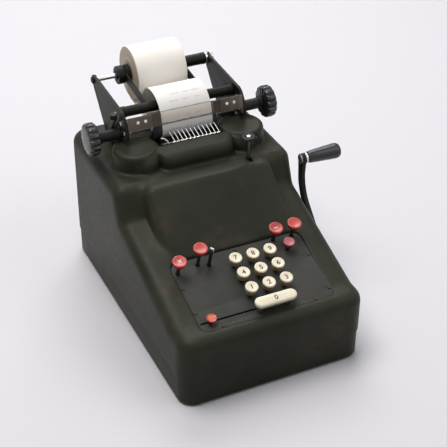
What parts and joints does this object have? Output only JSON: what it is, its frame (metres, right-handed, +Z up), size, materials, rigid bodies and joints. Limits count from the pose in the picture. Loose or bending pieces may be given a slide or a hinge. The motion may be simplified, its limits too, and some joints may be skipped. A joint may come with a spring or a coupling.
{
  "type": "adding machine",
  "caption": "Hand-cranked ten-key printing adding machine with a sloped keyboard, two ribbon spool covers, a rubber platen, a tear strip and a paper roll.",
  "frame": {"origin": "on the desk, under the middle of the whole machine's bounding box", "axes": "+X to the operator's right, where the crank is, +Y from the keyboard to the back, +Z up"},
  "size_m": [0.2588, 0.3392, 0.2342],
  "materials": {
    "casing_paint": "satin enamel with a fine grain",
    "arm_paint": "satin enamel",
    "plate_paint": "dull enamel",
    "rubber": "matt",
    "steel": "plain steel, lightly brushed",
    "bright": "bright plated",
    "brass": "plain brass",
    "black_enamel": "black enamel",
    "black_plastic": "moulded, half gloss",
    "key_cream": "moulded, aged cream",
    "key_red": "moulded, glossy",
    "bracket_paint": "satin enamel, taupe",
    "clear_strip": "clear, slightly yellowed",
    "paper": "plain paper",
    "core": "cardboard",
    "ribbon": "inked cloth"
  },
  "bodies": {
    "frame": {"base_pan": "casing_paint", "rubber_feet": "rubber", "foot_screws": "steel", "casing": "casing_paint", "keyboard_plate": "plate_paint", "plate_screws": "bright", "key_guide_plate": "steel", "key_springs": "brass", "left_side_frame": "steel", "right_side_frame": "steel", "cross_shafts": "steel", "shaft_bushes": "brass", "type_guide": "bright", "carriage_rails": "bright", "left_roll_arm": "arm_paint", "right_roll_arm": "arm_paint", "roll_crossbar": "black_enamel", "spindle_rod": "bright", "spindle_collars": "black_enamel", "spindle_nut": "bright", "roll_guides": "arm_paint", "paper_strip": "paper", "tear_brackets": "bracket_paint", "tear_strip": "clear_strip", "carriage_screws": "bright", "ink_ribbon": "ribbon"},
    "crank": {"main_shaft": "steel", "crank_arm": "black_enamel"},
    "grip": {"crank_grip": "black_plastic"},
    "lifter": {"lift_lever": "steel"},
    "bars": {"type_bars": "steel"},
    "wheels": {"adding_wheels": "brass"},
    "carriage": {"pin_carriage": "steel", "column_pointer": "key_red"},
    "key_0": {"key_0": "key_cream"},
    "key_1": {"key_1": "key_cream"},
    "key_2": {"key_2": "key_cream"},
    "key_3": {"key_3": "key_cream"},
    "key_4": {"key_4": "key_cream"},
    "key_5": {"key_5": "key_cream"},
    "key_6": {"key_6": "key_cream"},
    "key_7": {"key_7": "key_cream"},
    "key_8": {"key_8": "key_cream"},
    "key_9": {"key_9": "key_cream"},
    "red_key_left": {"red_key_left": "key_red"},
    "red_key_left_tall": {"red_key_left_tall": "key_red"},
    "bare_key": {"bare_key_stem": "steel"},
    "red_key_right_inner": {"red_key_right_inner": "key_red"},
    "red_key_right_outer": {"red_key_right_outer": "key_red"},
    "red_key_right_low": {"red_key_right_low": "key_red"},
    "lever": {"deck_lever": "black_enamel"},
    "platen": {"platen_roller": "rubber", "platen_shaft": "steel", "platen_knobs": "black_plastic"},
    "roll": {"paper_roll": "paper", "paper_core": "core"},
    "left_spool": {"left_ribbon_spool": "black_plastic"},
    "right_spool": {"right_ribbon_spool": "black_plastic"},
    "release": {"paper_release": "steel"},
    "presser": {"pressure_roller": "rubber"}
  },
  "joints": [
    {"name": "crank_pull", "type": "hinge", "parent": "frame", "child": "crank", "pos_m": [-0.0224, -0.0576, 0.065], "axis": [1, 0, 0], "range_deg": [0, 85], "stiffness_Nm_per_rad": 0.4, "springref_deg": -5.73},
    {"name": "grip_turn", "type": "hinge", "parent": "crank", "child": "grip", "pos_m": [0.1076, -0.0126, 0.147], "axis": [1, 0, 0], "continuous": true},
    {"name": "lifter_rock", "type": "hinge", "parent": "frame", "child": "lifter", "pos_m": [-0.0224, 0.0024, 0.075], "axis": [1, 0, 0], "range_deg": [0, 23]},
    {"name": "bars_rise", "type": "slide", "parent": "frame", "child": "bars", "axis": [0, 0, 1], "range_m": [0, 0.0157]},
    {"name": "wheels_turn", "type": "hinge", "parent": "frame", "child": "wheels", "pos_m": [-0.0224, 0.0234, 0.115], "axis": [1, 0, 0], "continuous": true},
    {"name": "carriage_step", "type": "slide", "parent": "frame", "child": "carriage", "axis": [1, 0, 0], "range_m": [0, 0.038]},
    {"name": "key_0_press", "type": "slide", "parent": "frame", "child": "key_0", "axis": [0, 0.2823, -0.9593], "range_m": [0, 0.004], "stiffness_N_per_m": 150, "springref_m": -0.004},
    {"name": "key_1_press", "type": "slide", "parent": "frame", "child": "key_1", "axis": [0, 0.2823, -0.9593], "range_m": [0, 0.004], "stiffness_N_per_m": 150, "springref_m": -0.004},
    {"name": "key_2_press", "type": "slide", "parent": "frame", "child": "key_2", "axis": [0, 0.2823, -0.9593], "range_m": [0, 0.004], "stiffness_N_per_m": 150, "springref_m": -0.004},
    {"name": "key_3_press", "type": "slide", "parent": "frame", "child": "key_3", "axis": [0, 0.2823, -0.9593], "range_m": [0, 0.004], "stiffness_N_per_m": 150, "springref_m": -0.004},
    {"name": "key_4_press", "type": "slide", "parent": "frame", "child": "key_4", "axis": [0, 0.2823, -0.9593], "range_m": [0, 0.004], "stiffness_N_per_m": 150, "springref_m": -0.004},
    {"name": "key_5_press", "type": "slide", "parent": "frame", "child": "key_5", "axis": [0, 0.2823, -0.9593], "range_m": [0, 0.004], "stiffness_N_per_m": 150, "springref_m": -0.004},
    {"name": "key_6_press", "type": "slide", "parent": "frame", "child": "key_6", "axis": [0, 0.2823, -0.9593], "range_m": [0, 0.004], "stiffness_N_per_m": 150, "springref_m": -0.004},
    {"name": "key_7_press", "type": "slide", "parent": "frame", "child": "key_7", "axis": [0, 0.2823, -0.9593], "range_m": [0, 0.004], "stiffness_N_per_m": 150, "springref_m": -0.004},
    {"name": "key_8_press", "type": "slide", "parent": "frame", "child": "key_8", "axis": [0, 0.2823, -0.9593], "range_m": [0, 0.004], "stiffness_N_per_m": 150, "springref_m": -0.004},
    {"name": "key_9_press", "type": "slide", "parent": "frame", "child": "key_9", "axis": [0, 0.2823, -0.9593], "range_m": [0, 0.004], "stiffness_N_per_m": 150, "springref_m": -0.004},
    {"name": "red_key_left_press", "type": "slide", "parent": "frame", "child": "red_key_left", "axis": [0, 0.2823, -0.9593], "range_m": [0, 0.004], "stiffness_N_per_m": 150, "springref_m": -0.004},
    {"name": "red_key_left_tall_press", "type": "slide", "parent": "frame", "child": "red_key_left_tall", "axis": [0, 0.2823, -0.9593], "range_m": [0, 0.004], "stiffness_N_per_m": 150, "springref_m": -0.004},
    {"name": "bare_key_press", "type": "slide", "parent": "frame", "child": "bare_key", "axis": [0, 0.2823, -0.9593], "range_m": [0, 0.004], "stiffness_N_per_m": 150, "springref_m": -0.004},
    {"name": "red_key_right_inner_press", "type": "slide", "parent": "frame", "child": "red_key_right_inner", "axis": [0, 0.2823, -0.9593], "range_m": [0, 0.004], "stiffness_N_per_m": 150, "springref_m": -0.004},
    {"name": "red_key_right_outer_press", "type": "slide", "parent": "frame", "child": "red_key_right_outer", "axis": [0, 0.2823, -0.9593], "range_m": [0, 0.004], "stiffness_N_per_m": 150, "springref_m": -0.004},
    {"name": "red_key_right_low_press", "type": "slide", "parent": "frame", "child": "red_key_right_low", "axis": [0, 0.2823, -0.9593], "range_m": [0, 0.004], "stiffness_N_per_m": 150, "springref_m": -0.004},
    {"name": "lever_slide", "type": "slide", "parent": "frame", "child": "lever", "axis": [0, -1, 0], "range_m": [0, 0.006]},
    {"name": "platen_turn", "type": "hinge", "parent": "frame", "child": "platen", "pos_m": [-0.0224, 0.0604, 0.1815], "axis": [1, 0, 0], "continuous": true},
    {"name": "roll_turn", "type": "hinge", "parent": "frame", "child": "roll", "pos_m": [-0.0224, 0.1404, 0.205], "axis": [1, 0, 0], "continuous": true},
    {"name": "left_spool_turn", "type": "hinge", "parent": "frame", "child": "left_spool", "pos_m": [-0.0824, 0.0404, 0.15], "axis": [0, 0, 1], "continuous": true},
    {"name": "right_spool_turn", "type": "hinge", "parent": "frame", "child": "right_spool", "pos_m": [0.0376, 0.0404, 0.15], "axis": [0, 0, 1], "continuous": true},
    {"name": "release_tip", "type": "hinge", "parent": "frame", "child": "release", "pos_m": [-0.0224, 0.0844, 0.1735], "axis": [1, 0, 0], "range_deg": [0, 10], "stiffness_Nm_per_rad": 0.2, "springref_deg": -5.73},
    {"name": "presser_turn", "type": "hinge", "parent": "release", "child": "presser", "pos_m": [-0.0224, 0.0604, 0.1619], "axis": [1, 0, 0], "continuous": true}
  ],
  "couplings": [
    {"joint": "lifter_rock", "follows": "crank_pull", "ratio": 0.27059},
    {"joint": "bars_rise", "follows": "crank_pull", "m_per_rad": 0.01056},
    {"joint": "right_spool_turn", "follows": "left_spool_turn", "ratio": 1},
    {"joint": "presser_turn", "follows": "platen_turn", "ratio": -2.72}
  ]
}
